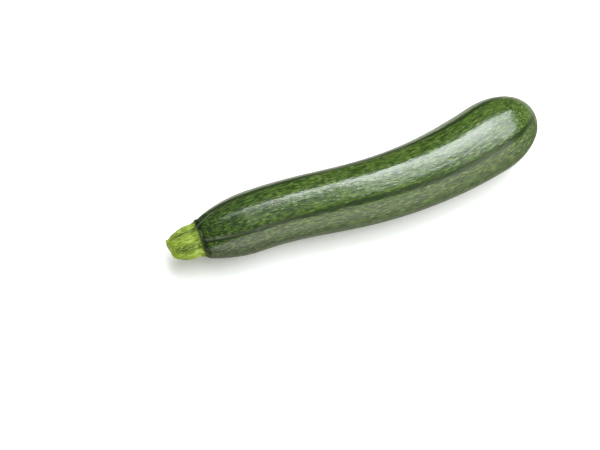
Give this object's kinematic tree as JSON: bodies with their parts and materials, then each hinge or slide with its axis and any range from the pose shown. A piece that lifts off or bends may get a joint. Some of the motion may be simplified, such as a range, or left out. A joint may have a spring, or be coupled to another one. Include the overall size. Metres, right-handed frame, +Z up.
{
  "type": "courgette",
  "caption": "Gently curved green courgette lying on its side, with a ribbed neck, a rounded blossom end and a short ridged stem stub.",
  "frame": {"origin": "middle of the footprint, on the surface that the courgette lies on", "axes": "+X along the courgette from the stem to the blossom end, +Z up; the middle of the body bows towards -Y"},
  "size_m": [0.2212, 0.0492, 0.0416],
  "materials": {
    "skin": "satin",
    "stem": "matte"
  },
  "bodies": {
    "root": {"fruit": "skin", "stem": "stem"}
  },
  "joints": []
}
